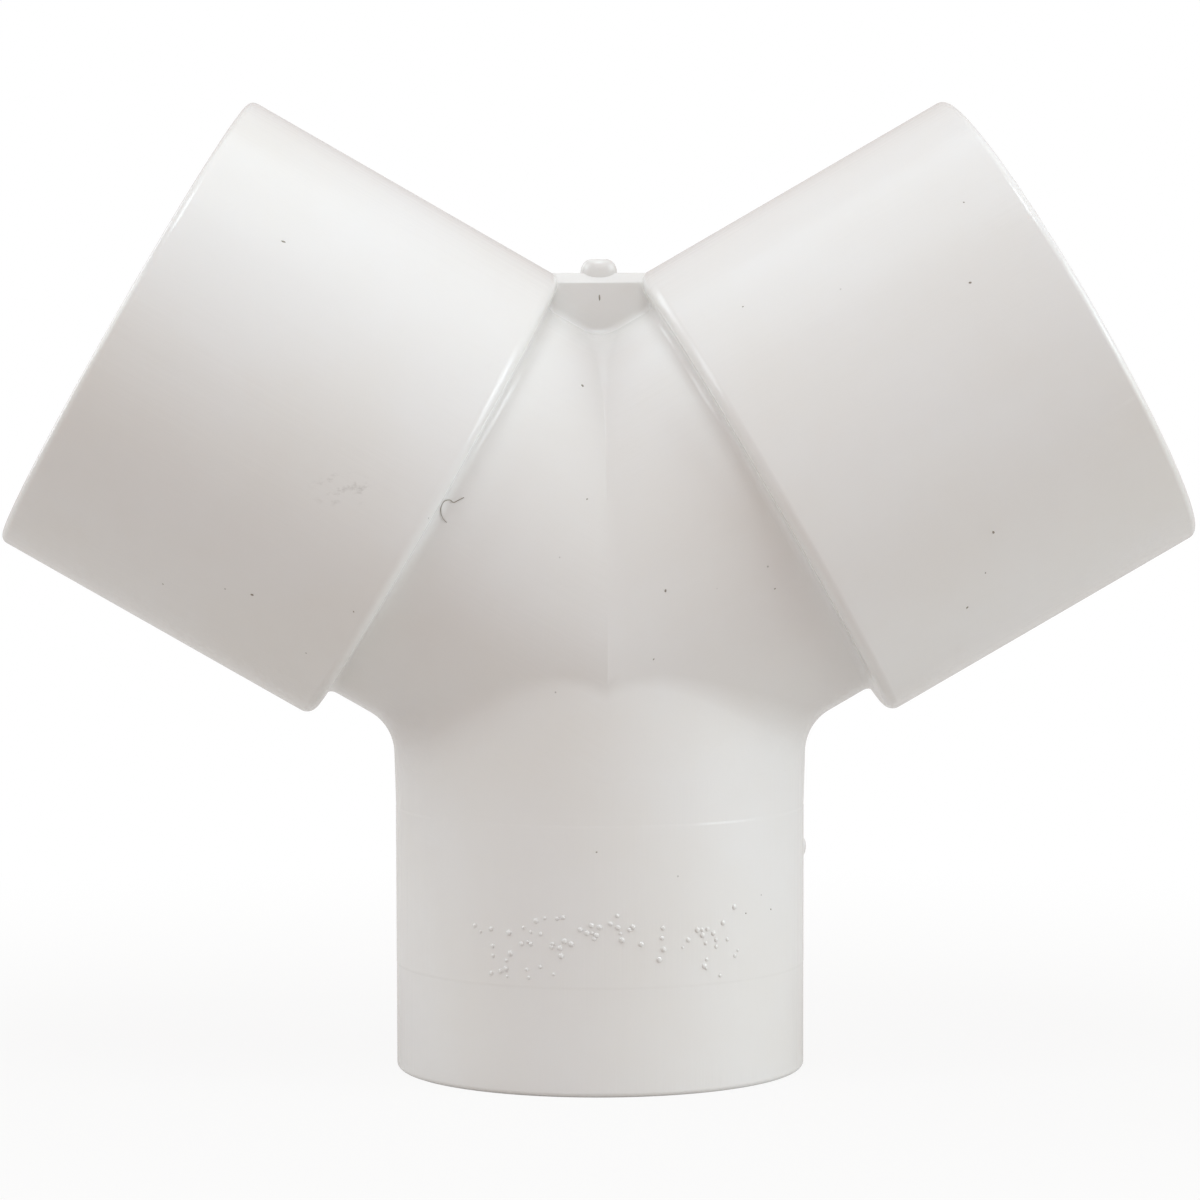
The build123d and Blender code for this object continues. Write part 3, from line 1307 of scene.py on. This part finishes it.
@dataclass(frozen=True)
class Studio:
    """A white sweep, soft lamps and the camera, in metres and degrees.

    The floor glows white to the eye. Its glow is weaker near the fitting, which leaves a faint shadow.
    """

    camera_place: Place = (-0.01479, -0.40372, 0.06646)
    yaw: float = -2.105
    pitch: float = -3.993
    roll: float = -0.112
    lens: float = 148.62
    sensor: float = 36.0
    gloss_share: float = 0.3
    floor_radius: float = 2.0
    floor_colour: str = "CBC7C3"
    floor_roughness: float = 0.9
    floor_gloss: float = 0.1
    glow_distances: Pair = (0.04, 0.14)
    glow_levels: Pair = (0.9, 1.0)
    room_colour: str = "FFE5DD"
    room_strength: float = 0.43
    lamp_colour: str = "EBFAFF"
    lamp_aim: Place = (0.0, 0.0, 0.04)
    lamps: tuple[Lamp, ...] = (
        Lamp("overhead", (0.0, 0.0, 1.0), 1.0, 2.0),
        Lamp("overhead_near", (0.0, -0.25, 0.6), 0.25, 1.02),
        Lamp("right_low", (0.8, -0.25, 0.15), 0.6, 2.9),
        Lamp("right_high", (0.7, -0.2, 0.45), 0.4, 1.35),
        Lamp("left_high", (-0.7, -0.2, 0.45), 0.4, 1.41),
        Lamp("left_back", (-0.6, 0.35, 0.3), 0.5, 1.4),
    )

    def build(self) -> None:
        """Set up the camera, the floor, the lamps and the world."""
        self.camera()
        self.floor()
        for lamp in self.lamps:
            lamp.build(self.lamp_colour, Vector(self.lamp_aim))
        self.world()
        bpy.context.scene.view_settings.view_transform = "Standard"

    def camera(self) -> None:
        """Place the camera."""
        data = bpy.data.cameras.new("camera")
        data.lens = self.lens
        data.sensor_width = self.sensor
        data.clip_start = 0.01
        data.clip_end = 10
        turn = Matrix.Rotation(math.radians(self.yaw), 3, "Z")
        turn = turn @ Matrix.Rotation(math.radians(self.pitch), 3, "X")
        right, ahead, up = (turn @ axis for axis in Matrix.Identity(3))
        lean = math.radians(self.roll)
        right, up = (
            right * math.cos(lean) + up * math.sin(lean),
            up * math.cos(lean) - right * math.sin(lean),
        )
        facing = Matrix((right, up, -ahead)).transposed()
        holder = link("camera", data)
        holder.matrix_world = Matrix.Translation(self.camera_place) @ facing.to_4x4()
        bpy.context.scene.camera = holder

    def floor(self) -> None:
        """A round pale floor that fades to white away from the object and keeps its shadow."""
        mesh = bpy.data.meshes.new("floor")
        sheet = bmesh.new()
        bmesh.ops.create_circle(sheet, cap_ends=True, segments=96, radius=self.floor_radius)
        sheet.to_mesh(mesh)
        sheet.free()
        floor = link("floor", mesh)
        made, tree, shader = new_material("white_floor")
        shader.inputs["Base Color"].default_value = linear(self.floor_colour)
        shader.inputs["Roughness"].default_value = self.floor_roughness
        shader.inputs["Specular IOR Level"].default_value = self.floor_gloss
        place = add_node(tree, "ShaderNodeTexCoord").outputs["Object"]
        distance = vector_math(tree, "LENGTH", place).outputs["Value"]
        level = ranged(tree, distance, self.glow_distances, self.glow_levels, "SMOOTHSTEP")
        share = calculate(tree, "MULTIPLY", self.seen(tree), level)
        glow = add_node(tree, "ShaderNodeEmission", {"Color": linear("FFFFFF"), "Strength": 1.0})
        links = {0: share, 1: shader.outputs["BSDF"], 2: glow.outputs["Emission"]}
        mix = add_node(tree, "ShaderNodeMixShader", links).outputs["Shader"]
        tree.links.new(mix, tree.nodes["Material Output"].inputs["Surface"])
        floor.data.materials.append(made)

    def seen(self, tree: Tree) -> Socket:
        """How strongly the white sweep is seen.

        Dark flags beside a white object keep its edges from melting into a white sweep, so gloss sees
        the sweep at part strength.

        Args:
            tree: The node tree.

        Returns:
            1 for what is seen straight on or through glass, and the gloss share for gloss.
        """
        path = add_node(tree, "ShaderNodeLightPath").outputs
        plain = calculate(tree, "MAXIMUM", path["Is Camera Ray"], path["Is Transmission Ray"])
        gloss = calculate(tree, "MULTIPLY", path["Is Glossy Ray"], self.gloss_share)
        return calculate(tree, "MAXIMUM", plain, gloss)

    def world(self) -> None:
        """Even white light, seen as plain white behind the object."""
        world = bpy.data.worlds.new("studio")
        bpy.context.scene.world = world
        world.use_nodes = True
        tree = world.node_tree
        links = {"Color": linear(self.room_colour), "Strength": self.room_strength}
        room = add_node(tree, "ShaderNodeBackground", links).outputs["Background"]
        links = {"Color": linear("FFFFFF"), "Strength": 1.0}
        white = add_node(tree, "ShaderNodeBackground", links).outputs["Background"]
        mix = add_node(tree, "ShaderNodeMixShader", {0: self.seen(tree), 1: room, 2: white})
        tree.links.new(mix.outputs["Shader"], tree.nodes["World Output"].inputs["Surface"])


def main() -> None:
    """Build the fitting and the studio."""
    logging.basicConfig(level=logging.INFO, format="%(name)s: %(message)s")
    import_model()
    plastic, soil = MouldedPvc().material(), DrySoil().material()
    fitting = WyeFitting()
    body = fitting.build()
    body.data.materials.append(plastic)
    pips = Scatter(
        name="raised_pips",
        per_square_mm=0.9,
        seed=11,
        smallest_mm=0.12,
        largest_mm=0.24,
        flatness=0.55,
        cluster_mm=3.8,
        cluster_level=0.49,
    ).build(spigot_patch(fitting.layout, PIPS_LOW, PIPS_HIGH, PIPS_HALF_ANGLE), plastic)
    settled = SurfaceSoil()
    fibre, dirt = settled.fibre(soil), settled.dirt(soil)
    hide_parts(CAD_NODE)
    for piece in (body, pips, fibre, dirt):
        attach(piece, BODY)
        LOG.info("%s: %d faces", piece.name, len(piece.data.polygons))
    Studio().build()


if __name__ == "__main__":
    main()
